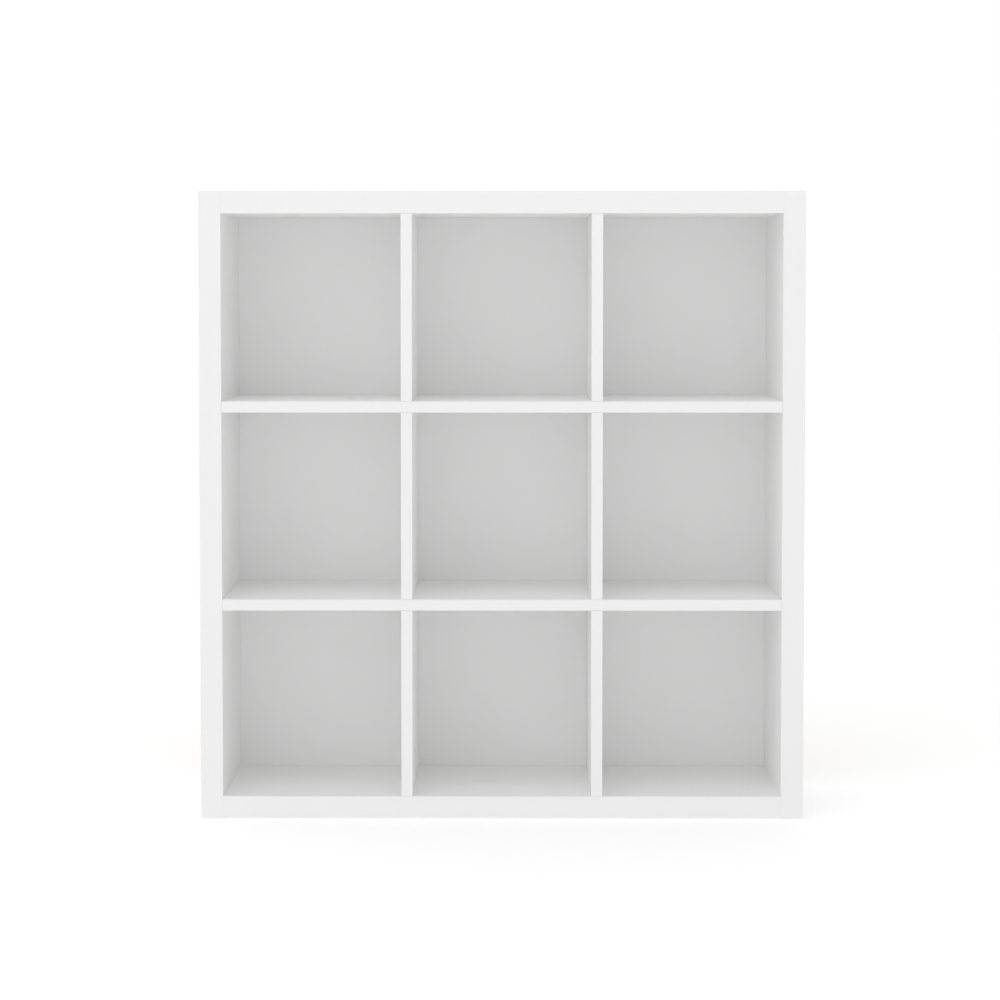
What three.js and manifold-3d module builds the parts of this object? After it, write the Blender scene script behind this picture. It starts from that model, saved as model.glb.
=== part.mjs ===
// Cube storage unit: a thick outer frame, two long shelves, six short dividers and a thin back sheet
// in a groove. Wooden dowels locate the inner boards, eight screws clamp the frame corners, and the
// unit stands on four glides.
// Millimetres. +X is right, +Y is towards the wall, +Z is up. The origin is on the floor under its middle.

import * as THREE from "three";
import { mergeVertices } from "three/addons/utils/BufferGeometryUtils.js";
import Module from "manifold-3d";

const wasm = await Module();
wasm.setup();

// Driving dimensions
const columns = 3;
const rows = 3;
const cellWidth = 290;
const cellHeight = 303;
const depth = 300;
const frameThickness = 36;
const boardThickness = 18;
const seam = 0.2; // hairline between two boards that meet

// Back sheet and its groove
const backThickness = 3;
const backInset = 8; // from the rear edges of the frame to the rear face of the sheet
const grooveDepth = 6;
const grooveEndGap = 0.5; // between the edge of the sheet and the floor of the groove
const grooveSideGap = 0.2;

// Fasteners
const fastenerSpacing = 192; // from the front row of fasteners to the rear row
const dowelRadius = 4;
const dowelReach = 20; // how far a dowel goes into each board
const dowelChamfer = 1;
const dowelSegments = 12;
const boreRadius = 4.2;
const boreRelief = 1; // how much deeper a bore is than its dowel
const screwLength = 70;
const screwRadius = 3.4;
const screwHeadRadius = 5;
const screwHeadRim = 2; // height of the straight rim of the countersunk head
const screwHeadHeight = 5;
const screwTipLength = 8;
const screwSegments = 16;
const socketAcrossFlats = 4;
const socketDepth = 3;
const screwClearance = 0.3;
const screwSink = 7; // from the outer face of a side panel to the top of the screw head
const capRadius = 6.6;
const capThickness = 1.2;
const capStemRadius = 4.8;
const capStemLength = 4;
const roundSegments = 24;
const capClearance = 0.3;
const cutOvershoot = 1; // how far a cutting tool stands out of the face it enters

// Glides
const glideRadius = 10;
const glideHeight = 2;
const glideRim = 0.6; // chamfer round the sole
const glidePinRadius = 1.1;
const glidePinLength = 12;
const glidePinPoint = 2;
const glidePinClearance = 0.3;
const glideSpacing = 240; // from the front glides to the rear ones

// Sizes that follow
const width = columns * cellWidth + (columns - 1) * boardThickness + 2 * frameThickness;
const height = rows * cellHeight + (rows - 1) * boardThickness + 2 * frameThickness;
const innerWidth = width - 2 * frameThickness;
const innerHeight = height - 2 * frameThickness;
const bottom = glideHeight;
const front = -depth / 2;
const rear = depth / 2;
const sheetFront = rear - backInset - backThickness;
const boardDepth = sheetFront - seam - front;
const boardMiddleY = front + boardDepth / 2;
const boreDepth = dowelReach + boreRelief;

// Places that repeat
const sides = [
  { name: "left", sign: -1 },
  { name: "right", sign: 1 },
];
const ends = [
  { name: "bottom", sign: -1 },
  { name: "top", sign: 1 },
];
const fastenerRows = [
  { name: "front", y: -fastenerSpacing / 2 },
  { name: "rear", y: fastenerSpacing / 2 },
];
const glideRows = [
  { name: "front", y: -glideSpacing / 2 },
  { name: "rear", y: glideSpacing / 2 },
];
const rowNames = ["bottom", "middle", "top"];
const shelfLines = ["lower", "upper"].map((name, i) => ({
  name,
  z: bottom + frameThickness + (i + 1) * cellHeight + (i + 0.5) * boardThickness,
}));
const dividerLines = ["left", "right"].map((name, i) => ({
  name,
  x: -innerWidth / 2 + (i + 1) * cellWidth + (i + 0.5) * boardThickness,
}));
const cornerPanelZ = (end) => bottom + height / 2 + (end.sign * (height - frameThickness)) / 2;

// Materials
const boardMaterial = () => new THREE.MeshStandardMaterial({ color: 0xf2f2f1, roughness: 0.45 });
const sheetMaterial = () => new THREE.MeshStandardMaterial({ color: 0xefefee, roughness: 0.5 });
const dowelMaterial = () => new THREE.MeshStandardMaterial({ color: 0xd9b98c, roughness: 0.75 });
const screwMaterial = () =>
  new THREE.MeshStandardMaterial({ color: 0xc9cbc9, roughness: 0.35, metalness: 0.9 });
const capMaterial = () => new THREE.MeshStandardMaterial({ color: 0xf0f0ef, roughness: 0.4 });
const glideMaterial = () => new THREE.MeshStandardMaterial({ color: 0x8f9092, roughness: 0.55 });

// Closed geometry to a solid and back
function solidOf(geometry) {
  const bare = geometry.clone();
  bare.deleteAttribute("normal");
  bare.deleteAttribute("uv");
  const merged = mergeVertices(bare);
  const vertProperties = new Float32Array(merged.attributes.position.array);
  const triVerts = new Uint32Array(merged.index.array);
  return new wasm.Manifold(new wasm.Mesh({ numProp: 3, vertProperties, triVerts }));
}

function geometryOf(solid) {
  const { vertProperties, triVerts } = solid.getMesh();
  const geometry = new THREE.BufferGeometry();
  geometry.setAttribute("position", new THREE.BufferAttribute(vertProperties, 3));
  geometry.setIndex(new THREE.BufferAttribute(triVerts, 1));
  geometry.computeVertexNormals();
  return geometry;
}

function cutFrom(geometry, tools) {
  const solid = tools.reduce((body, tool) => body.subtract(solidOf(tool)), solidOf(geometry));
  return geometryOf(solid);
}

// A round bore that enters a face at start and runs along direction
function bore(radius, start, direction, length, segments = dowelSegments) {
  const geometry = new THREE.CylinderGeometry(radius, radius, length + cutOvershoot, segments);
  geometry.translate(0, (length - cutOvershoot) / 2, 0);
  geometry.applyQuaternion(new THREE.Quaternion().setFromUnitVectors(THREE.Object3D.DEFAULT_UP, direction));
  return geometry.translate(start.x, start.y, start.z);
}

// The straight slot that the edge of the back sheet sits in
function groove(size, centre) {
  return new THREE.BoxGeometry(size.x, size.y, size.z).translate(centre.x, centre.y, centre.z);
}

// A board with its bores and grooves, whose cutting tools are given in the unit's own frame
function board(name, size, centre, tools, material = boardMaterial()) {
  const blank = new THREE.BoxGeometry(size.x, size.y, size.z);
  const localTools = tools.map((tool) => tool.translate(-centre.x, -centre.y, -centre.z));
  const mesh = new THREE.Mesh(cutFrom(blank, localTools), material);
  mesh.name = name;
  mesh.position.copy(centre);
  return mesh;
}

// A turned piece, drawn upright from its profile, then laid along direction
function turned(name, profile, segments, origin, direction, material) {
  const points = profile.map(([radius, y]) => new THREE.Vector2(radius, y));
  const mesh = new THREE.Mesh(new THREE.LatheGeometry(points, segments), material);
  mesh.name = name;
  mesh.position.copy(origin);
  mesh.quaternion.setFromUnitVectors(THREE.Object3D.DEFAULT_UP, direction);
  return mesh;
}

const at = (x, y, z) => new THREE.Vector3(x, y, z);
const alongX = (sign) => at(sign, 0, 0);
const alongZ = (sign) => at(0, 0, sign);

// The stepped hole of a frame screw: a shallow seat for the cap, a counterbore for the head, then the shank
function screwHoleInSide(side, end, row) {
  const start = at((side.sign * width) / 2, row.y, cornerPanelZ(end));
  const inward = alongX(-side.sign);
  return [
    bore(capRadius + capClearance, start, inward, capThickness + capClearance, roundSegments),
    bore(screwHeadRadius + screwClearance, start, inward, screwSink + screwHeadHeight, screwSegments),
    bore(screwRadius + screwClearance, start, inward, frameThickness + cutOvershoot, screwSegments),
  ];
}

function screwHoleInPanel(side, end, row) {
  const start = at((side.sign * innerWidth) / 2, row.y, cornerPanelZ(end));
  const length = screwSink + screwLength - frameThickness + boreRelief;
  return bore(screwRadius + screwClearance, start, alongX(-side.sign), length, screwSegments);
}

function sidePanel(side) {
  const size = at(frameThickness, depth, height);
  const centre = at((side.sign * (width - frameThickness)) / 2, 0, bottom + height / 2);
  const innerFace = (side.sign * innerWidth) / 2;
  const grooveSize = at(2 * grooveDepth, backThickness + 2 * grooveSideGap, innerHeight + 2 * grooveDepth);
  const tools = [groove(grooveSize, at(innerFace, sheetFront + backThickness / 2, bottom + height / 2))];
  for (const row of fastenerRows) {
    for (const line of shelfLines) {
      tools.push(bore(boreRadius, at(innerFace, row.y, line.z), alongX(side.sign), boreDepth));
    }
    for (const end of ends) {
      tools.push(...screwHoleInSide(side, end, row));
    }
  }
  for (const row of glideRows) {
    const pinRadius = glidePinRadius + glidePinClearance;
    const pinLength = glidePinLength + boreRelief;
    tools.push(bore(pinRadius, at(centre.x, row.y, bottom), alongZ(1), pinLength));
  }
  return board(`${side.name}_side_panel`, size, centre, tools);
}

function endPanel(end) {
  const size = at(innerWidth - 2 * seam, depth, frameThickness);
  const centre = at(0, 0, cornerPanelZ(end));
  const innerFace = centre.z - (end.sign * frameThickness) / 2;
  const grooveSize = at(innerWidth, backThickness + 2 * grooveSideGap, 2 * grooveDepth);
  const tools = [groove(grooveSize, at(0, sheetFront + backThickness / 2, innerFace))];
  for (const row of fastenerRows) {
    for (const line of dividerLines) {
      tools.push(bore(boreRadius, at(line.x, row.y, innerFace), alongZ(end.sign), boreDepth));
    }
    for (const side of sides) {
      tools.push(screwHoleInPanel(side, end, row));
    }
  }
  return board(`${end.name}_panel`, size, centre, tools);
}

function shelf(line) {
  const size = at(innerWidth - 2 * seam, boardDepth, boardThickness);
  const centre = at(0, boardMiddleY, line.z);
  const underside = line.z - boardThickness / 2;
  const tools = [];
  for (const row of fastenerRows) {
    for (const side of sides) {
      const mouth = at((side.sign * innerWidth) / 2, row.y, line.z);
      tools.push(bore(boreRadius, mouth, alongX(-side.sign), boreDepth));
    }
    for (const divider of dividerLines) {
      const mouth = at(divider.x, row.y, underside);
      tools.push(bore(boreRadius, mouth, alongZ(1), boardThickness + cutOvershoot));
    }
  }
  return board(`${line.name}_shelf`, size, centre, tools);
}

function divider(line, rowIndex) {
  const size = at(boardThickness, boardDepth, cellHeight - 2 * seam);
  const floor = bottom + frameThickness + rowIndex * (cellHeight + boardThickness);
  const centre = at(line.x, boardMiddleY, floor + cellHeight / 2);
  const tools = [];
  for (const row of fastenerRows) {
    tools.push(bore(boreRadius, at(line.x, row.y, floor), alongZ(1), boreDepth));
    tools.push(bore(boreRadius, at(line.x, row.y, floor + cellHeight), alongZ(-1), boreDepth));
  }
  return board(`divider_${rowNames[rowIndex]}_${line.name}`, size, centre, tools);
}

function backSheet() {
  const overlap = grooveDepth - grooveEndGap;
  const size = at(innerWidth + 2 * overlap, backThickness, innerHeight + 2 * overlap);
  const centre = at(0, sheetFront + backThickness / 2, bottom + height / 2);
  return board("back_panel", size, centre, [], sheetMaterial());
}

function dowel(name, length, centre, direction) {
  const half = length / 2;
  const profile = [
    [0, -half],
    [dowelRadius - dowelChamfer, -half],
    [dowelRadius, -half + dowelChamfer],
    [dowelRadius, half - dowelChamfer],
    [dowelRadius - dowelChamfer, half],
    [0, half],
  ];
  return turned(name, profile, dowelSegments, centre, direction, dowelMaterial());
}

function screw(side, end, row) {
  const profile = [
    [0, 0],
    [screwRadius, screwTipLength],
    [screwRadius, screwLength - screwHeadHeight],
    [screwHeadRadius, screwLength - screwHeadRim],
    [screwHeadRadius, screwLength],
    [0, screwLength],
  ];
  const name = `frame_screw_${end.name}_${side.name}_${row.name}`;
  const tip = at(side.sign * (width / 2 - screwSink - screwLength), row.y, cornerPanelZ(end));
  const mesh = turned(name, profile, screwSegments, tip, alongX(side.sign), screwMaterial());
  const socketRadius = socketAcrossFlats / Math.sqrt(3);
  const mouth = at(0, screwLength, 0);
  const socket = bore(socketRadius, mouth, at(0, -1, 0), socketDepth, 6);
  mesh.geometry = cutFrom(mesh.geometry, [socket]);
  return mesh;
}

function cap(side, end, row) {
  const profile = [
    [0, -capStemLength],
    [capStemRadius, -capStemLength],
    [capStemRadius, 0],
    [capRadius, 0],
    [capRadius, capThickness],
    [0, capThickness],
  ];
  const name = `screw_cap_${end.name}_${side.name}_${row.name}`;
  const seat = at(side.sign * (width / 2 - capThickness), row.y, cornerPanelZ(end));
  return turned(name, profile, roundSegments, seat, alongX(side.sign), capMaterial());
}

function glide(side, row) {
  const profile = [
    [0, 0],
    [glideRadius - glideRim, 0],
    [glideRadius, glideRim],
    [glideRadius, glideHeight],
    [glidePinRadius, glideHeight],
    [glidePinRadius, glideHeight + glidePinLength - glidePinPoint],
    [0, glideHeight + glidePinLength],
  ];
  const foot = at((side.sign * (width - frameThickness)) / 2, row.y, 0);
  return turned(`glide_${side.name}_${row.name}`, profile, roundSegments, foot, alongZ(1), glideMaterial());
}

function boards() {
  const group = new THREE.Group();
  sides.forEach((side) => group.add(sidePanel(side)));
  ends.forEach((end) => group.add(endPanel(end)));
  shelfLines.forEach((line) => group.add(shelf(line)));
  rowNames.forEach((_, rowIndex) => {
    dividerLines.forEach((line) => group.add(divider(line, rowIndex)));
  });
  group.add(backSheet());
  return group;
}

function dowels() {
  const group = new THREE.Group();
  const jointDowel = 2 * dowelReach;
  const throughDowel = 2 * dowelReach + boardThickness;
  for (const row of fastenerRows) {
    for (const line of shelfLines) {
      for (const side of sides) {
        const name = `shelf_dowel_${line.name}_${side.name}_${row.name}`;
        group.add(dowel(name, jointDowel, at((side.sign * innerWidth) / 2, row.y, line.z), alongX(side.sign)));
      }
      for (const crossing of dividerLines) {
        const name = `crossing_dowel_${line.name}_${crossing.name}_${row.name}`;
        group.add(dowel(name, throughDowel, at(crossing.x, row.y, line.z), alongZ(1)));
      }
    }
    for (const end of ends) {
      for (const line of dividerLines) {
        const name = `divider_dowel_${end.name}_${line.name}_${row.name}`;
        const jointZ = bottom + height / 2 + (end.sign * innerHeight) / 2;
        group.add(dowel(name, jointDowel, at(line.x, row.y, jointZ), alongZ(1)));
      }
    }
  }
  return group;
}

function frameFasteners() {
  const group = new THREE.Group();
  for (const side of sides) {
    for (const end of ends) {
      for (const row of fastenerRows) {
        group.add(screw(side, end, row), cap(side, end, row));
      }
    }
  }
  return group;
}

function glides() {
  const group = new THREE.Group();
  for (const side of sides) {
    for (const row of glideRows) {
      group.add(glide(side, row));
    }
  }
  return group;
}

const unit = new THREE.Group();
unit.add(boards(), dowels(), frameFasteners(), glides());

export default unit;
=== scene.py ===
"""The looks of the cube storage unit: boards, edge bands, back sheet, its pins and the hidden fittings."""

import math

import bmesh
import bpy
from mathutils import Matrix, Vector


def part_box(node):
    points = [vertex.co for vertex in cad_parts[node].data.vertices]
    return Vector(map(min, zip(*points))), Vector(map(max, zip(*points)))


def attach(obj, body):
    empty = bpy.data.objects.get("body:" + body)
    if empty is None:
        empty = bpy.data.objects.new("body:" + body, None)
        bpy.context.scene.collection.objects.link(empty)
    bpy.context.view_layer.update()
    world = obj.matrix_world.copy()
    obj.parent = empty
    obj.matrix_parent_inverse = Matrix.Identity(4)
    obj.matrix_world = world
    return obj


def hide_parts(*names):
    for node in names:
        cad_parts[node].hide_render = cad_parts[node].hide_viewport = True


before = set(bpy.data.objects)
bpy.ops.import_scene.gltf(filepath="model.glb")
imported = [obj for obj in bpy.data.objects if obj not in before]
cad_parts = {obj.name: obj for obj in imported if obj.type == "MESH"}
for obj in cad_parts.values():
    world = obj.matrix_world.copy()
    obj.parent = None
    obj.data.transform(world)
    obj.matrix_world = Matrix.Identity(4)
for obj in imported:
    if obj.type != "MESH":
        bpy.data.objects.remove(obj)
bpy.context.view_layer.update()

MM = 0.001
X, Y, Z = 0, 1, 2

# ---------------------------------------------------------------- the unit, as the frame gives it

SIDES = ("left", "right")
ENDS = ("bottom", "top")
SIDE_PANELS = [f"{side}_side_panel" for side in SIDES]
END_PANELS = [f"{end}_panel" for end in ENDS]
SHELVES = ["lower_shelf", "upper_shelf"]
DIVIDERS = [f"divider_{level}_{side}" for level in ("bottom", "middle", "top") for side in SIDES]
DOWELS = sorted(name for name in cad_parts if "_dowel_" in name)
SCREWS = sorted(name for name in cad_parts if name.startswith("frame_screw_"))
CAPS = sorted(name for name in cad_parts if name.startswith("screw_cap_"))
GLIDES = sorted(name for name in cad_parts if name.startswith("glide_"))

front_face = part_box("left_side_panel")[0].y

# ---------------------------------------------------------------- sizes that the frame does not give

BAND_THICKNESS = 0.8 * MM
BAND_RADIUS = 0.5 * MM
BAND_END_CHAMFER = 0.1 * MM
GLUE_LINE = 0.04 * MM
CORNER_SEAM = 0.03 * MM
ARRIS_STEPS = 4

BORE_GAP = 0.15 * MM
BORE_RELIEF = 0.7 * MM
GROOVE_ROOM = 0.5 * MM
OVERSHOOT = 1 * MM
ROUND_STEPS = 48

CAP_THICKNESS = 1.2 * MM
CAP_STEM_RADIUS = 4.8 * MM
SCREW_HEAD_HEIGHT = 5 * MM
SCREW_HEAD_RIM = 2 * MM
SCREW_SHANK_RADIUS = 3.4 * MM
GLIDE_PIN_RADIUS = 1.1 * MM

PIN_RADIUS = 0.7 * MM
PIN_LENGTH = 22 * MM
PIN_HEAD_RADIUS = 1.7 * MM
PIN_HEAD_HEIGHT = 0.5 * MM
PIN_BORE_GAP = BORE_GAP / 3
PIN_BORE_STEPS = ROUND_STEPS // 4
PINS_PER_SPAN = 2

# Two points closer than SAME_POINT are one, and a face closer than ON_FACE to a plane is on it.
# A face looks along an axis where its normal's share of that axis is over FACING.
SAME_POINT = 0.001 * MM
ON_FACE = 0.01 * MM
FACING = 0.9


# ---------------------------------------------------------------- mesh helpers


def along(axis, length=1.0):
    """A vector of that length along an axis."""
    vector = Vector((0, 0, 0))
    vector[axis] = length
    return vector


def box_mesh(low, high):
    bm = bmesh.new()
    place = Matrix.Translation((low + high) / 2) @ Matrix.Diagonal((*(high - low), 1.0))
    bmesh.ops.create_cube(bm, size=1.0, matrix=place)
    return bm


def skin_rings(bm, rings):
    """Faces between successive rings of points, where a ring of one point is a tip."""
    for lower, upper in zip(rings, rings[1:]):
        count = max(len(lower), len(upper))
        for i in range(count):
            j = (i + 1) % count
            if len(lower) == 1:
                bm.faces.new((lower[0], upper[j], upper[i]))
            elif len(upper) == 1:
                bm.faces.new((lower[i], lower[j], upper[0]))
            else:
                bm.faces.new((lower[i], lower[j], upper[j], upper[i]))
    bmesh.ops.recalc_face_normals(bm, faces=bm.faces)


def ring(bm, height, radius_at, steps=ROUND_STEPS):
    """Points round the Z axis, where radius_at gives the radius at each angle."""
    points = []
    for i in range(steps):
        angle = 2 * math.pi * i / steps
        radius = radius_at(angle)
        points.append(bm.verts.new((radius * math.cos(angle), radius * math.sin(angle), height)))
    return points


def turned_mesh(profile, steps=ROUND_STEPS):
    """A solid of revolution about Z, from (radius, height) points that start and end on the axis."""
    bm = bmesh.new()
    rings = []
    for radius, height in profile:
        if radius == 0:
            rings.append([bm.verts.new((0, 0, height))])
        else:
            rings.append(ring(bm, height, lambda angle, radius=radius: radius, steps))
    skin_rings(bm, rings)
    return bm


def arc(centre, radius, start, end, steps):
    """Points on a round corner of a profile, with angles in degrees."""
    angles = [math.radians(start + (end - start) * i / steps) for i in range(steps + 1)]
    return [(centre[0] + radius * math.cos(a), centre[1] + radius * math.sin(a)) for a in angles]


def stand(bm, origin, direction):
    """Lays an upright piece along direction, with its foot at origin."""
    turn = Vector((0, 0, 1)).rotation_difference(direction).to_matrix().to_4x4()
    bmesh.ops.transform(bm, matrix=Matrix.Translation(origin) @ turn, verts=bm.verts)
    return bm


def joined(meshes):
    """Several bmeshes as one. They are freed."""
    whole = bmesh.new()
    for bm in meshes:
        part = bpy.data.meshes.new("part")
        bm.to_mesh(part)
        bm.free()
        whole.from_mesh(part)
        bpy.data.meshes.remove(part)
    return whole


def link_object(name, bm):
    mesh = bpy.data.meshes.new(name)
    bm.normal_update()
    bm.to_mesh(mesh)
    bm.free()
    made = bpy.data.objects.new(name, mesh)
    bpy.context.scene.collection.objects.link(made)
    return made


def finish_piece(piece, materials, slot, *nodes):
    """Gives a piece its materials and its place on the one body, and hides the CAD nodes that it stands for.
    """
    for material in materials:
        piece.data.materials.append(material)
    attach(piece, "root")
    if nodes:
        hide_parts(*nodes)
    return piece


def shade_smooth(piece, angle=35):
    for polygon in piece.data.polygons:
        polygon.use_smooth = True
    piece.data.set_sharp_from_angle(angle=math.radians(angle))
    return piece


def long_axis(low, high):
    return max((X, Y, Z), key=lambda axis: (high - low)[axis])


def outer_sign(low, high):
    """Which side of the unit a piece is on: -1 on the left, 1 on the right."""
    return math.copysign(1, low.x + high.x)


# ---------------------------------------------------------------- bores and grooves


def dowel_bore(node):
    low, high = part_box(node)
    axis = long_axis(low, high)
    half = (high - low)[axis] / 2 + BORE_RELIEF
    radius = (high - low)[(axis + 1) % 3] / 2 + BORE_GAP
    bm = turned_mesh([(0, -half), (radius, -half), (radius, half), (0, half)])
    return stand(bm, (low + high) / 2, along(axis))


def screw_bore(node):
    """The stepped hole of a frame screw: a seat for the cap, a counterbore for the head, then the shank."""
    low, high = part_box(node)
    sign = outer_sign(low, high)
    cap_low, cap_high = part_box(node.replace("frame_screw", "screw_cap"))
    tip, head = (low.x, high.x) if sign > 0 else (-high.x, -low.x)
    face = cap_high.x if sign > 0 else -cap_low.x
    length = head - tip
    cap_radius = (cap_high - cap_low).y / 2 + BORE_GAP
    head_radius = (high - low).y / 2 + BORE_GAP
    shank_radius = SCREW_SHANK_RADIUS + BORE_GAP
    seat = face - tip - CAP_THICKNESS - BORE_GAP
    steps = [
        (0, -BORE_RELIEF),
        (shank_radius, -BORE_RELIEF),
        (shank_radius, length - SCREW_HEAD_HEIGHT),
        (head_radius, length - SCREW_HEAD_HEIGHT + (head_radius - shank_radius)),
        (head_radius, seat),
        (cap_radius, seat),
        (cap_radius, face - tip + OVERSHOOT),
        (0, face - tip + OVERSHOOT),
    ]
    foot = (low + high) / 2
    foot.x = sign * tip
    return stand(turned_mesh(steps), foot, along(X, sign))


def glide_bore(node):
    low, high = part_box(node)
    radius = GLIDE_PIN_RADIUS + BORE_GAP
    foot = (low + high) / 2
    foot.z = low.z
    height = (high - low).z + BORE_RELIEF
    return stand(turned_mesh([(0, 0), (radius, 0), (radius, height), (0, height)]), foot, along(Z))


def pin_bore(place):
    radius = PIN_RADIUS + PIN_BORE_GAP
    length = PIN_LENGTH + BORE_RELIEF
    steps = [(0, -OVERSHOOT), (radius, -OVERSHOOT), (radius, length), (0, length)]
    return stand(turned_mesh(steps, PIN_BORE_STEPS), place, along(Y, -1))


def sheet_groove():
    low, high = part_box("back_panel")
    gap = Vector((GROOVE_ROOM, BORE_GAP, GROOVE_ROOM))
    return box_mesh(low - gap, high + gap)


def pin_places():
    """Where the pins go through the back sheet into the rear edges of the shelves and dividers."""
    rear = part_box("back_panel")[1].y
    lines = sorted((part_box(f"divider_middle_{side}")[0].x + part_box(f"divider_middle_{side}")[1].x) / 2
                   for side in SIDES)
    inner_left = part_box("left_side_panel")[1].x
    stops = [inner_left, *lines, -inner_left]
    places = []
    for shelf in SHELVES:
        low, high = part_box(shelf)
        for start, end in zip(stops, stops[1:]):
            for i in range(PINS_PER_SPAN):
                x = start + (end - start) * (i + 0.5) / PINS_PER_SPAN
                places.append(Vector((x, rear, (low.z + high.z) / 2)))
    for node in DIVIDERS:
        low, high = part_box(node)
        for i in range(PINS_PER_SPAN):
            z = low.z + (high.z - low.z) * (i + 0.5) / PINS_PER_SPAN
            places.append(Vector(((low.x + high.x) / 2, rear, z)))
    return places


def bounds_of(bm):
    points = [vert.co for vert in bm.verts]
    low = Vector(min(point[axis] for point in points) for axis in (X, Y, Z))
    high = Vector(max(point[axis] for point in points) for axis in (X, Y, Z))
    return low, high


PIN_PLACES = pin_places()
CUTTERS = (
    [dowel_bore(node) for node in DOWELS]
    + [screw_bore(node) for node in SCREWS]
    + [glide_bore(node) for node in GLIDES]
    + [pin_bore(place) for place in PIN_PLACES]
    + [sheet_groove()]
)
CUTTER_BOUNDS = [bounds_of(bm) for bm in CUTTERS]
GROOVE = len(CUTTERS) - 1

# The places of two corners in an object's bound_box.
LOWEST_CORNER, HIGHEST_CORNER = 0, 6


def cut_bores(piece, skip=()):
    """Takes every bore and groove that reaches a piece out of it."""
    low, high = Vector(piece.bound_box[LOWEST_CORNER]), Vector(piece.bound_box[HIGHEST_CORNER])
    reached = []
    for number, (cut_low, cut_high) in enumerate(CUTTER_BOUNDS):
        meets = all(cut_low[axis] < high[axis] and cut_high[axis] > low[axis] for axis in (X, Y, Z))
        if meets and number not in skip:
            reached.append(CUTTERS[number].copy())
    if not reached:
        return piece
    tool = link_object("bore_tool", joined(reached))
    cut = piece.modifiers.new("bores", "BOOLEAN")
    cut.operation = "DIFFERENCE"
    cut.solver = "EXACT"
    cut.object = tool
    shaped = bpy.data.meshes.new_from_object(piece.evaluated_get(bpy.context.evaluated_depsgraph_get()))
    piece.modifiers.clear()
    plain = piece.data
    piece.data = shaped
    shaped.name = piece.name
    bpy.data.meshes.remove(plain)
    tool_mesh = tool.data
    bpy.data.objects.remove(tool)
    bpy.data.meshes.remove(tool_mesh)
    return piece


# ---------------------------------------------------------------- material helpers

# Where a Mix node keeps its factor, and its sockets for colours.
MIX_FACTOR, MIX_FIRST, MIX_SECOND, MIX_RESULT = 0, 6, 7, 2


class NodeMaker:
    """Adds nodes to a shader tree, and wires them."""

    def __init__(self, tree):
        self.tree = tree

    def node(self, kind, **settings):
        made = self.tree.nodes.new(kind)
        for name, value in settings.items():
            setattr(made, name, value)
        return made

    def wire(self, source, target):
        self.tree.links.new(source, target)

    def maths(self, operation, *values):
        made = self.node("ShaderNodeMath", operation=operation)
        for value, socket in zip(values, made.inputs):
            if isinstance(value, (int, float)):
                socket.default_value = value
            else:
                self.wire(value, socket)
        return made.outputs[0]

    def split(self, vector):
        """The X, Y and Z outputs of a vector."""
        made = self.node("ShaderNodeSeparateXYZ")
        self.wire(vector, made.inputs[0])
        return made.outputs


class Finish(NodeMaker):
    """A procedural material built around one Principled shader, in the unit's own coordinates."""

    def __init__(self, name, **values):
        self.material = bpy.data.materials.new(name)
        self.material.use_nodes = True
        super().__init__(self.material.node_tree)
        self.shader = self.tree.nodes["Principled BSDF"]
        for socket, value in values.items():
            self.shader.inputs[socket.replace("_", " ")].default_value = value
        self.place = self.node("ShaderNodeTexCoord").outputs["Object"]

    def stretched(self, scale):
        mapping = self.node("ShaderNodeMapping")
        mapping.inputs["Scale"].default_value = scale
        self.wire(self.place, mapping.inputs["Vector"])
        return mapping.outputs["Vector"]

    def noise(self, scale, detail=2.0, roughness=0.5, stretch=(1, 1, 1), distortion=0.0):
        made = self.node("ShaderNodeTexNoise")
        made.inputs["Scale"].default_value = scale
        made.inputs["Detail"].default_value = detail
        made.inputs["Roughness"].default_value = roughness
        made.inputs["Distortion"].default_value = distortion
        self.wire(self.stretched(stretch), made.inputs["Vector"])
        return made.outputs["Fac"]

    def cells(self, scale):
        """The distance to the nearest of many scattered points."""
        made = self.node("ShaderNodeTexVoronoi", feature="F1")
        made.inputs["Scale"].default_value = scale
        self.wire(self.place, made.inputs["Vector"])
        return made.outputs["Distance"]

    def spread(self, value, low, high, start=0.3, end=0.7):
        """A value between start and end, where most of a noise's values are, mapped to low and high."""
        made = self.node("ShaderNodeMapRange")
        for socket, number in (("From Min", start), ("From Max", end), ("To Min", low), ("To Max", high)):
            made.inputs[socket].default_value = number
        self.wire(value, made.inputs["Value"])
        return made.outputs["Result"]

    def blend(self, amount, first, second):
        """A colour between two, each a colour or the colour of another node."""
        made = self.node("ShaderNodeMix", data_type="RGBA")
        self.wire(amount, made.inputs[MIX_FACTOR])
        for value, socket in ((first, made.inputs[MIX_FIRST]), (second, made.inputs[MIX_SECOND])):
            if isinstance(value, tuple):
                socket.default_value = (*value, 1.0)
            else:
                self.wire(value, socket)
        return made.outputs[MIX_RESULT]

    def colour(self, value):
        self.wire(value, self.shader.inputs["Base Color"])

    def roughness(self, value):
        self.wire(value, self.shader.inputs["Roughness"])

    def relief(self, *layers):
        """Bumps on the surface, each layer a (height, depth in metres) pair."""
        normal = None
        for height, depth in layers:
            bump = self.node("ShaderNodeBump")
            bump.inputs["Strength"].default_value = 1.0
            bump.inputs["Distance"].default_value = depth
            self.wire(height, bump.inputs["Height"])
            if normal is not None:
                self.wire(normal, bump.inputs["Normal"])
            normal = bump.outputs["Normal"]
        self.wire(normal, self.shader.inputs["Normal"])


# ---------------------------------------------------------------- materials


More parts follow.
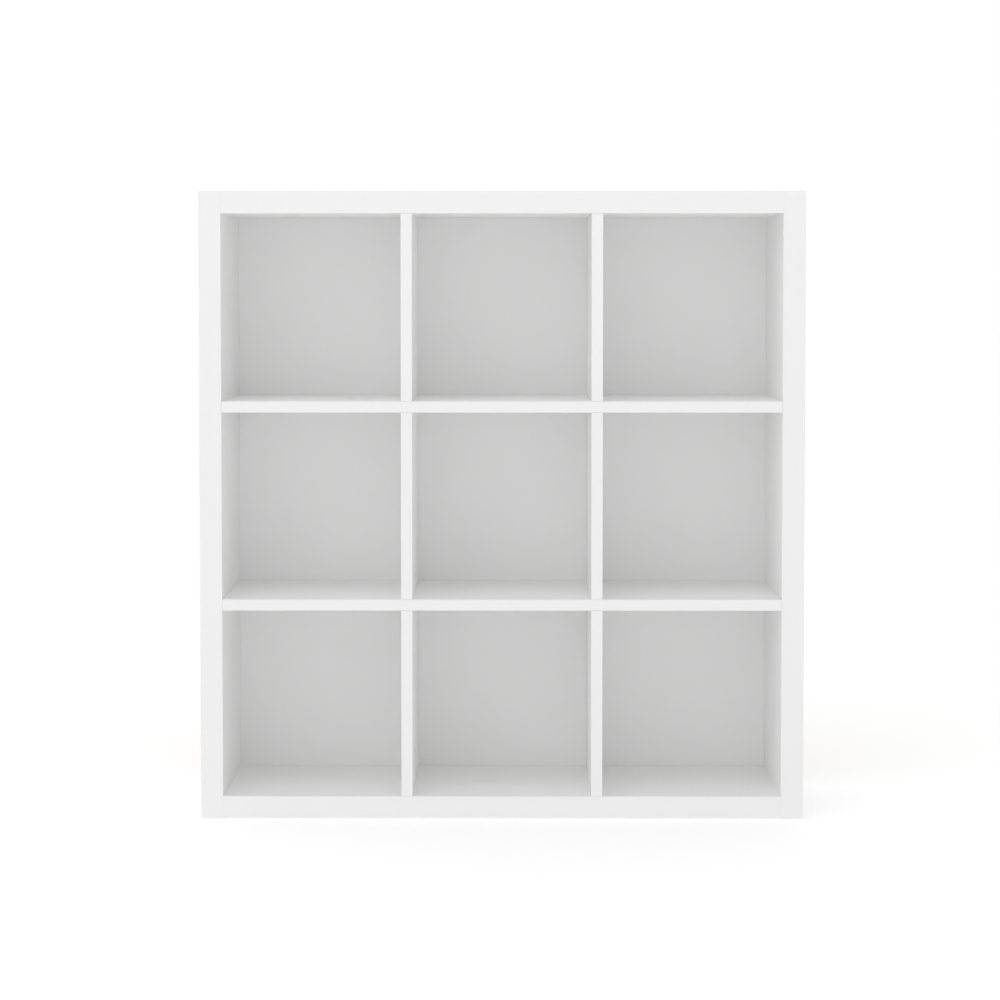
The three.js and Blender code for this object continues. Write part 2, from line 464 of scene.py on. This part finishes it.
WHITE, WHITE_SHADE = (0.914, 0.914, 0.912), (0.908, 0.908, 0.906)
BAND_WHITE, BAND_SHADE = (0.898, 0.898, 0.896), (0.892, 0.892, 0.890)
SHEET_WHITE, SHEET_SHADE = (0.904, 0.905, 0.904), (0.896, 0.897, 0.896)
CHIP_LIGHT, CHIP_DARK, CHIP_GLUE = (0.56, 0.42, 0.26), (0.30, 0.20, 0.11), (0.42, 0.30, 0.18)
HARDBOARD, HARDBOARD_DARK = (0.235, 0.125, 0.062), (0.212, 0.111, 0.055)
HARDBOARD_LIGHT, HARDBOARD_FLECK = (0.33, 0.19, 0.10), (0.075, 0.038, 0.020)
BEECH, BEECH_DARK, BEECH_PORE = (0.69, 0.49, 0.28), (0.58, 0.38, 0.20), (0.36, 0.21, 0.10)
ZINC, ZINC_DARK = (0.66, 0.67, 0.68), (0.52, 0.53, 0.55)
CAP_WHITE, CAP_SHADE = (0.835, 0.835, 0.828), (0.815, 0.815, 0.806)
GLIDE_GREY, GLIDE_DARK = (0.30, 0.30, 0.31), (0.24, 0.24, 0.25)

PEARL_DEPTH = 0.012 * MM
PEEL_DEPTH = 0.010 * MM
DRAWN_DEPTH = 0.006 * MM
CHIP_DEPTH = 0.2 * MM
CHIP_DUST_DEPTH = 0.1 * MM
LACQUER_DEPTH = 0.018 * MM
SCREEN_PITCH = 2.4 * MM
SCREEN_DEPTH = 0.06 * MM
FIBRE_DEPTH = 0.12 * MM
PORE_DEPTH = 0.05 * MM
PLATING_DEPTH = 0.01 * MM
MOULD_DEPTH = 0.02 * MM


def melamine():
    """White melamine paper pressed on to the board: a fine pearl texture and very slight cloudiness."""
    finish = Finish("white_melamine", Roughness=0.42, Specular_IOR_Level=0.3)
    cloud = finish.noise(scale=5.0, detail=3.0)
    pearl = finish.noise(scale=900.0, detail=2.0, roughness=0.6)
    peel = finish.noise(scale=160.0, detail=1.0)
    finish.colour(finish.blend(finish.spread(cloud, low=0.0, high=1.0), WHITE_SHADE, WHITE))
    uneven = finish.maths("ADD", cloud, finish.maths("MULTIPLY", pearl, 0.5))
    finish.roughness(finish.spread(uneven, low=0.36, high=0.48, start=0.5, end=1.0))
    finish.relief((pearl, PEARL_DEPTH), (peel, PEEL_DEPTH))
    return finish.material


def edge_band():
    """The white plastic band on the boards' edges: a little smoother, with faint upright drawing marks."""
    finish = Finish("white_edge_band", Roughness=0.38)
    drawn = finish.noise(scale=500.0, detail=2.0, stretch=(1, 1, 0.03))
    cloud = finish.noise(scale=7.0, detail=2.0)
    finish.colour(finish.blend(finish.spread(cloud, low=0.0, high=1.0), BAND_SHADE, BAND_WHITE))
    finish.roughness(finish.spread(drawn, low=0.33, high=0.43))
    finish.relief((drawn, DRAWN_DEPTH))
    return finish.material


def board_core():
    """Particle board where it is cut: pressed chips in bores and grooves and on hidden ends."""
    finish = Finish("particle_board", Roughness=0.9)
    chips = finish.cells(scale=520.0)
    fine = finish.noise(scale=1400.0, detail=3.0)
    shade = finish.blend(finish.spread(chips, low=0.0, high=1.0, start=0.1, end=0.7), CHIP_LIGHT, CHIP_DARK)
    finish.colour(finish.blend(finish.spread(fine, low=0.0, high=0.6), shade, CHIP_GLUE))
    finish.relief((chips, CHIP_DEPTH), (fine, CHIP_DUST_DEPTH))
    return finish.material


def sheet_face():
    """White lacquer on the inner face of the back sheet, with the board's fibres just showing through."""
    finish = Finish("white_back_sheet", Roughness=0.46)
    fibre = finish.noise(scale=260.0, detail=3.0, roughness=0.6, stretch=(1, 1, 0.35))
    cloud = finish.noise(scale=4.0, detail=3.0)
    finish.colour(finish.blend(finish.spread(cloud, low=0.0, high=1.0), SHEET_SHADE, SHEET_WHITE))
    finish.roughness(finish.spread(fibre, low=0.40, high=0.54))
    finish.relief((fibre, LACQUER_DEPTH))
    return finish.material


def hardboard():
    """Raw hardboard on the rear of the back sheet: brown fibre with the print of the pressing screen."""
    finish = Finish("raw_hardboard", Roughness=0.85)
    fibre = finish.noise(scale=420.0, detail=5.0, roughness=0.7, distortion=1.2)
    patch = finish.noise(scale=9.0, detail=4.0, roughness=0.6)
    fleck = finish.cells(scale=900.0)
    patches = finish.spread(patch, low=0.0, high=1.0, start=0.35, end=0.65)
    brown = finish.blend(patches, HARDBOARD_DARK, HARDBOARD)
    streaked = finish.blend(finish.spread(fibre, low=0.0, high=0.55), brown, HARDBOARD_LIGHT)
    flecks = finish.spread(fleck, low=0.35, high=0.0, start=0.0, end=0.25)
    finish.colour(finish.blend(flecks, streaked, HARDBOARD_FLECK))
    turns = 2 * math.pi / SCREEN_PITCH
    place = finish.split(finish.place)
    waves = [finish.maths("SINE", finish.maths("MULTIPLY", place[axis], turns)) for axis in (X, Z)]
    screen = finish.maths("MULTIPLY", *waves)
    finish.roughness(finish.spread(fibre, low=0.78, high=0.93))
    finish.relief((screen, SCREEN_DEPTH), (fibre, FIBRE_DEPTH))
    return finish.material


def beech():
    """Bare beech: fine pores and flecks in its grain."""
    finish = Finish("beech_dowel", Roughness=0.62)
    grain = finish.noise(scale=240.0, detail=4.0, roughness=0.65, stretch=(0.25, 1, 0.25))
    pores = finish.noise(scale=1500.0, detail=2.0, stretch=(0.2, 1, 0.2))
    wood = finish.blend(finish.spread(grain, low=0.0, high=1.0), BEECH_DARK, BEECH)
    flecks = finish.spread(pores, low=0.45, high=0.0, start=0.25, end=0.5)
    finish.colour(finish.blend(flecks, wood, BEECH_PORE))
    finish.roughness(finish.spread(grain, low=0.55, high=0.7))
    finish.relief((pores, PORE_DEPTH))
    return finish.material


def zinc():
    """Bright zinc plating, slightly clouded."""
    finish = Finish("zinc_plated_steel", Metallic=1.0, Roughness=0.3)
    cloud = finish.noise(scale=700.0, detail=3.0)
    finish.colour(finish.blend(finish.spread(cloud, low=0.0, high=1.0), ZINC_DARK, ZINC))
    finish.roughness(finish.spread(cloud, low=0.24, high=0.42))
    finish.relief((cloud, PLATING_DEPTH))
    return finish.material


def moulded(name, dark, light, smooth, coarse):
    """Moulded plastic with a fine spark-eroded texture."""
    finish = Finish(name, Roughness=(smooth + coarse) / 2)
    grain = finish.noise(scale=1800.0, detail=2.0, roughness=0.6)
    cloud = finish.noise(scale=60.0, detail=2.0)
    finish.colour(finish.blend(finish.spread(cloud, low=0.0, high=1.0), dark, light))
    finish.roughness(finish.spread(grain, smooth, coarse))
    finish.relief((grain, MOULD_DEPTH))
    return finish.material


MELAMINE = melamine()
EDGE_BAND = edge_band()
BOARD_CORE = board_core()
SHEET_FACE = sheet_face()
HARDBOARD_REAR = hardboard()
BEECH_WOOD = beech()
ZINC_PLATE = zinc()
CAP_PLASTIC = moulded("white_cap_plastic", CAP_SHADE, CAP_WHITE, smooth=0.36, coarse=0.48)
GLIDE_PLASTIC = moulded("grey_glide_plastic", GLIDE_DARK, GLIDE_GREY, smooth=0.5, coarse=0.65)


# ---------------------------------------------------------------- boards


def paint_core(piece, axis, low, high):
    """Melamine, the first material, on the two wide faces of a board, and bare core on every other face."""
    for polygon in piece.data.polygons:
        wide = abs(polygon.normal[axis]) > FACING
        depth = min(abs(polygon.center[axis] - low[axis]), abs(polygon.center[axis] - high[axis]))
        outside = depth < ON_FACE
        polygon.material_index = 0 if wide and outside else 1


def edges_on(bm, planes):
    """Edges whose two ends both lie on every (axis, place) plane."""
    return [
        edge for edge in bm.edges
        if all(abs(vert.co[axis] - place) < SAME_POINT for vert in edge.verts for axis, place in planes)
    ]


def bevel(bm, edges, radius, steps):
    bmesh.ops.bevel(bm, geom=edges, offset=radius, segments=steps, profile=0.5, affect="EDGES")


def band(name, low, high, edge_axis, sign, thick_axis):
    """A strip of edge band, with the two long outer arrises trimmed round and its ends just broken."""
    bm = box_mesh(low, high)
    outer = (high if sign > 0 else low)[edge_axis]
    inner = (low if sign > 0 else high)[edge_axis]
    length_axis = X + Y + Z - edge_axis - thick_axis
    for side in (low, high):
        arris = edges_on(bm, [(edge_axis, outer), (thick_axis, side[thick_axis])])
        bevel(bm, arris, BAND_RADIUS, ARRIS_STEPS)
    for end in (low, high):
        rim = [
            edge for edge in edges_on(bm, [(length_axis, end[length_axis])])
            if all(abs(vert.co[edge_axis] - inner) > ON_FACE for vert in edge.verts)
        ]
        bevel(bm, rim, BAND_END_CHAMFER, 1)
    # Where the bevels meet, some points fall in the same place.
    bmesh.ops.remove_doubles(bm, verts=bm.verts, dist=SAME_POINT)
    piece = link_object(name, bm)
    cut_bores(piece, skip=(GROOVE,))
    return finish_piece(piece, [EDGE_BAND], "white_board")


def board(node, thick_axis, banded, snug_axis=None):
    """A board: its core with melamine faces, and a band on each (axis, sign) edge listed in banded.

    Along snug_axis, where it has one, the board ends a fine seam short of the side panels.
    """
    low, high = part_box(node)
    if snug_axis is not None:
        inner = abs(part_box("left_side_panel")[1][snug_axis]) - CORNER_SEAM
        low[snug_axis], high[snug_axis] = -inner, inner
    core_low, core_high = low.copy(), high.copy()
    for axis, sign in banded:
        strip_low, strip_high = low.copy(), high.copy()
        if axis == Z:
            strip_low.y += BAND_THICKNESS + GLUE_LINE
            strip_high.y -= BAND_THICKNESS + GLUE_LINE
        if sign > 0:
            strip_low[axis] = high[axis] - BAND_THICKNESS
            core_high[axis] = high[axis] - BAND_THICKNESS - GLUE_LINE
        else:
            strip_high[axis] = low[axis] + BAND_THICKNESS
            core_low[axis] = low[axis] + BAND_THICKNESS + GLUE_LINE
        place = {(Y, -1): "front", (Y, 1): "rear", (Z, 1): "top", (Z, -1): "bottom"}[axis, sign]
        band(f"edge_band_{place}_{node}", strip_low, strip_high, axis, sign, thick_axis)
    piece = link_object(f"board_{node}", box_mesh(core_low, core_high))
    cut_bores(piece)
    finish_piece(piece, [MELAMINE, BOARD_CORE], "white_board", node)
    paint_core(piece, thick_axis, core_low, core_high)
    return piece


def boards():
    all_round = [(Y, -1), (Y, 1), (Z, 1), (Z, -1)]
    for node in SIDE_PANELS:
        board(node, X, all_round)
    for node in END_PANELS:
        board(node, Z, [(Y, -1), (Y, 1)], snug_axis=X)
    for node in SHELVES:
        board(node, Z, [(Y, -1)])
    for node in DIVIDERS:
        board(node, X, [(Y, -1)])


def back_sheet():
    low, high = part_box("back_panel")
    piece = link_object("back_sheet", box_mesh(low, high))
    cut_bores(piece, skip=(GROOVE,))
    finish_piece(piece, [SHEET_FACE, HARDBOARD_REAR], "back_sheet", "back_panel")
    for polygon in piece.data.polygons:
        lacquered = polygon.normal.y < -FACING and polygon.center.y < low.y + ON_FACE
        polygon.material_index = 0 if lacquered else 1
    return piece


# ---------------------------------------------------------------- fittings

FLUTES = 15
FLUTE_DEPTH = 0.3 * MM
STEPS_PER_FLUTE = 4
DOWEL_CHAMFER = 1 * MM

THREAD_PITCH = 3 * MM
THREAD_CORE = 2.4 * MM
THREAD_CREST = 3.4 * MM
THREAD_CREST_SHARE = 0.5
THREAD_RUNOUT = 3 * MM
THREAD_ROWS_PER_TURN = 8
THREAD_STEPS = 24
NECK_LENGTH = 18 * MM
TIP_LENGTH = 8 * MM
TIP_SHARE = 0.25
SCREW_HEAD_BREAK = SCREW_HEAD_RIM / 8
SOCKET_ACROSS_FLATS = 4 * MM
SOCKET_DEPTH = 3 * MM

CAP_RIM_RADIUS = 0.4 * MM
CAP_RIM_STEPS = 4
CAP_DISH_TOP = 0.72
CAP_DISH_FOOT = 0.62
CAP_DISH_DEPTH = 0.15 * MM

GLIDE_SOLE_RADIUS = 0.7 * MM
GLIDE_SOLE_STEPS = 5
GLIDE_TOP_BREAK = 0.3 * MM
GLIDE_CLEARANCE = 0.02 * MM
GLIDE_PIN_POINT = 2 * MM

PIN_POINT = 1.5 * MM
PIN_STEPS = ROUND_STEPS // 2
PIN_HEAD_CLEARANCE = 0.02 * MM
PIN_HEAD_SIDE = 0.4
PIN_HEAD_SHOULDER = (0.7, 0.85)


def dowel(node):
    """A fluted dowel with chamfered ends."""
    low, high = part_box(node)
    axis = long_axis(low, high)
    length = (high - low)[axis]
    full = (high - low)[(axis + 1) % 3] / 2

    def fluted(shrink):
        return lambda angle: full - shrink - FLUTE_DEPTH * (0.5 - 0.5 * math.cos(FLUTES * angle))

    bm = bmesh.new()
    steps = FLUTES * STEPS_PER_FLUTE
    heights = [(0, DOWEL_CHAMFER), (DOWEL_CHAMFER, 0), (length - DOWEL_CHAMFER, 0), (length, DOWEL_CHAMFER)]
    rings = [ring(bm, height, fluted(shrink), steps) for height, shrink in heights]
    skin_rings(bm, [[bm.verts.new((0, 0, 0))], *rings, [bm.verts.new((0, 0, length))]])
    foot = (low + high) / 2 - along(axis, length / 2)
    piece = link_object(f"fluted_{node}", stand(bm, foot, along(axis)))
    return finish_piece(shade_smooth(piece), [BEECH_WOOD], "dowel_wood", node)


def thread_radius(angle, height, start, end):
    """The radius of a coarse wood-screw thread, which fades out at both ends."""
    turn = (height / THREAD_PITCH - angle / (2 * math.pi)) % 1
    crest = max(0.0, 1 - abs(turn - 0.5) * 2 / THREAD_CREST_SHARE)
    fade = min(1.0, max(0.0, (height - start) / THREAD_RUNOUT), max(0.0, (end - height) / THREAD_RUNOUT))
    return THREAD_CORE + (THREAD_CREST - THREAD_CORE) * crest * fade


def hexagon(angle):
    """The radius of the socket's hexagon at each angle."""
    sixth = math.pi / 3
    return SOCKET_ACROSS_FLATS / 2 / math.cos((angle % sixth) - sixth / 2)


def frame_screw(node):
    """A connecting screw: tip, coarse thread, plain neck, countersunk head and a hexagon socket."""
    low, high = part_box(node)
    sign = outer_sign(low, high)
    length = (high - low).x
    head = (high - low).y / 2
    thread_end = length - SCREW_HEAD_HEIGHT - NECK_LENGTH
    bm = bmesh.new()
    rings = [[bm.verts.new((0, 0, 0))]]
    rows = math.ceil(thread_end / THREAD_PITCH * THREAD_ROWS_PER_TURN)
    for row in range(1, rows + 1):
        height = thread_end * row / rows
        taper = min(1.0, height / TIP_LENGTH)

        def radius_at(angle, height=height, taper=taper):
            return thread_radius(angle, height, 0, thread_end) * (TIP_SHARE + (1 - TIP_SHARE) * taper)

        rings.append(ring(bm, height, radius_at, THREAD_STEPS))
    neck_foot = thread_end + (SCREW_SHANK_RADIUS - THREAD_CORE)
    lips = [
        (neck_foot, lambda angle: SCREW_SHANK_RADIUS),
        (length - SCREW_HEAD_HEIGHT, lambda angle: SCREW_SHANK_RADIUS),
        (length - SCREW_HEAD_RIM, lambda angle: head),
        (length - SCREW_HEAD_BREAK, lambda angle: head),
        (length, lambda angle: head - SCREW_HEAD_BREAK),
        (length, hexagon),
        (length - SOCKET_DEPTH, hexagon),
    ]
    rings += [ring(bm, height, radius_at, THREAD_STEPS) for height, radius_at in lips]
    rings.append([bm.verts.new((0, 0, length - SOCKET_DEPTH))])
    skin_rings(bm, rings)
    foot = (low + high) / 2
    foot.x = low.x if sign > 0 else high.x
    piece = link_object(f"threaded_{node}", stand(bm, foot, along(X, sign)))
    return finish_piece(shade_smooth(piece), [ZINC_PLATE], "screw_steel", node)


def screw_cap(node):
    """A flush cap: a thin disc with a rounded rim and a shallow dish, on a plain stem."""
    low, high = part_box(node)
    sign = outer_sign(low, high)
    height = (high - low).x
    disc = (high - low).y / 2
    rim = CAP_RIM_RADIUS
    profile = [
        (0, 0),
        (CAP_STEM_RADIUS - rim, 0),
        (CAP_STEM_RADIUS, rim),
        (CAP_STEM_RADIUS, height - CAP_THICKNESS),
        (disc, height - CAP_THICKNESS),
        *arc((disc - rim, height - rim), rim, 0, 90, CAP_RIM_STEPS),
        (disc * CAP_DISH_TOP, height),
        (disc * CAP_DISH_FOOT, height - CAP_DISH_DEPTH),
        (0, height - CAP_DISH_DEPTH),
    ]
    foot = (low + high) / 2
    foot.x = low.x if sign > 0 else high.x
    piece = link_object(f"moulded_{node}", stand(turned_mesh(profile), foot, along(X, sign)))
    return finish_piece(shade_smooth(piece), [CAP_PLASTIC], "cap_plastic", node)


def glide(node):
    """A nail-on glide: a plastic disc with a rounded sole, and its pin."""
    low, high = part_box(node)
    disc = (high - low).x / 2
    sole_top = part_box("left_side_panel")[0].z
    pin_top = high.z - low.z
    rim = GLIDE_SOLE_RADIUS
    disc_top = sole_top - GLIDE_CLEARANCE
    profile = [
        (0, 0),
        *arc((disc - rim, rim), rim, -90, 0, GLIDE_SOLE_STEPS),
        (disc, sole_top - GLIDE_TOP_BREAK),
        (disc - GLIDE_TOP_BREAK, disc_top),
        (GLIDE_PIN_RADIUS, disc_top),
        (GLIDE_PIN_RADIUS, pin_top - GLIDE_PIN_POINT),
        (0, pin_top),
    ]
    foot = (low + high) / 2
    foot.z = low.z
    piece = link_object(f"moulded_{node}", stand(turned_mesh(profile), foot, along(Z)))
    finish_piece(shade_smooth(piece), [GLIDE_PLASTIC, ZINC_PLATE], "glide_plastic", node)
    for polygon in piece.data.polygons:
        polygon.material_index = 1 if polygon.center.z > sole_top else 0
    return piece


def back_pins():
    """The small pins through the back sheet, with domed heads on its rear face."""
    shoulder_radius, shoulder_height = PIN_HEAD_SHOULDER
    profile = [
        (0, -PIN_LENGTH),
        (PIN_RADIUS, PIN_POINT - PIN_LENGTH),
        (PIN_RADIUS, PIN_HEAD_CLEARANCE),
        (PIN_HEAD_RADIUS, PIN_HEAD_CLEARANCE),
        (PIN_HEAD_RADIUS, PIN_HEAD_HEIGHT * PIN_HEAD_SIDE),
        (PIN_HEAD_RADIUS * shoulder_radius, PIN_HEAD_HEIGHT * shoulder_height),
        (0, PIN_HEAD_HEIGHT),
    ]
    pins = [stand(turned_mesh(profile, PIN_STEPS), place, along(Y)) for place in PIN_PLACES]
    piece = link_object("back_pins", joined(pins))
    return finish_piece(shade_smooth(piece), [ZINC_PLATE], "screw_steel")


# ---------------------------------------------------------------- the studio

# Where the camera stands and looks, in metres: how far before the front face, how high above the floor, and
# how far right of the middle. The lens is in millimetres, and the shift is a share of the picture's width.
VIEW_DISTANCE = 4.349
EYE_HEIGHT = 0.851
EYE_RIGHT = 0.0164
AIM_HEIGHT = 0.642
AIM_RIGHT = -0.003
LENS = 97.13
WINDOW_SHIFT = -0.075

# The strengths of the sky and of the floor's glow, and the softboxes in metres and watts.
SKY_EVEN = 0.782
SKY_LEFT = 0.2
SKY_BEHIND = 0.26
FLOOR_GLOW = 0.205
KEY_PLACE = (-2.5, -3.5, 2.6)
KEY_AIM = (0, 0, 0.5)
KEY_SIZE = (2.0, 2.0)
KEY_POWER = 8
OVERHEAD_PLACE = (0, -1.2, 2.7)
OVERHEAD_AIM = (0, -0.15, 0.6)
OVERHEAD_SIZE = (2.4, 0.8)
OVERHEAD_POWER = 5.5
DIFFUSE_BOUNCES = 12

FLOOR_REACH = 60
FLOOR_WHITE, FLOOR_SHADE = (0.95, 0.95, 0.95), (0.94, 0.94, 0.94)


def camera():
    """A long lens in front of the unit, at the height of the upper cells, tilted slightly down."""
    data = bpy.data.cameras.new("camera")
    data.lens = LENS
    data.shift_y = WINDOW_SHIFT
    made = bpy.data.objects.new("camera", data)
    bpy.context.scene.collection.objects.link(made)
    eye = Vector((EYE_RIGHT, front_face - VIEW_DISTANCE, EYE_HEIGHT))
    aim = Vector((AIM_RIGHT, front_face, AIM_HEIGHT))
    made.location = eye
    made.rotation_mode = "QUATERNION"
    made.rotation_quaternion = (aim - eye).to_track_quat("-Z", "Y")
    bpy.context.scene.camera = made


def softbox(name, place, aim, size, power):
    data = bpy.data.lights.new(name, "AREA")
    data.shape = "RECTANGLE"
    data.size, data.size_y = size
    data.energy = power
    made = bpy.data.objects.new(name, data)
    bpy.context.scene.collection.objects.link(made)
    made.location = place
    made.rotation_mode = "QUATERNION"
    made.rotation_quaternion = (Vector(aim) - Vector(place)).to_track_quat("-Z", "Y")


def floor():
    """A plain white table, lit a little from below, as for a product photograph."""
    bm = bmesh.new()
    bmesh.ops.create_grid(bm, x_segments=1, y_segments=1, size=FLOOR_REACH)
    made = link_object("studio_floor", bm)
    finish = Finish("studio_white", Roughness=0.9, Emission_Color=(1, 1, 1, 1), Emission_Strength=FLOOR_GLOW)
    finish.colour(finish.blend(finish.noise(scale=1.2, detail=2.0), FLOOR_SHADE, FLOOR_WHITE))
    made.data.materials.append(finish.material)


def sky():
    """Soft light from all round: a little brighter from the left, and brightest behind the unit."""
    world = bpy.data.worlds.new("studio")
    world.use_nodes = True
    nodes = NodeMaker(world.node_tree)
    background = world.node_tree.nodes["Background"]
    background.inputs["Color"].default_value = (1, 1, 1, 1)
    towards = nodes.split(nodes.node("ShaderNodeTexCoord").outputs["Generated"])
    sideways = nodes.maths("MULTIPLY_ADD", towards[X], -SKY_LEFT, SKY_EVEN)
    behind = nodes.maths("MAXIMUM", towards[Y], 0.0)
    nodes.wire(nodes.maths("MULTIPLY_ADD", behind, SKY_BEHIND, sideways), background.inputs["Strength"])
    return world


def studio():
    """Sky, softboxes and floor. White boards pass light on, so it is followed for many bounces."""
    scene = bpy.context.scene
    scene.world = sky()
    scene.view_settings.view_transform = "Standard"
    scene.cycles.diffuse_bounces = DIFFUSE_BOUNCES
    softbox("key", KEY_PLACE, KEY_AIM, KEY_SIZE, KEY_POWER)
    softbox("overhead", OVERHEAD_PLACE, OVERHEAD_AIM, OVERHEAD_SIZE, OVERHEAD_POWER)
    floor()


# ---------------------------------------------------------------- build

camera()
studio()
boards()
back_sheet()
for node in DOWELS:
    dowel(node)
for node in SCREWS:
    frame_screw(node)
for node in CAPS:
    screw_cap(node)
for node in GLIDES:
    glide(node)
back_pins()
for cutter in CUTTERS:
    cutter.free()
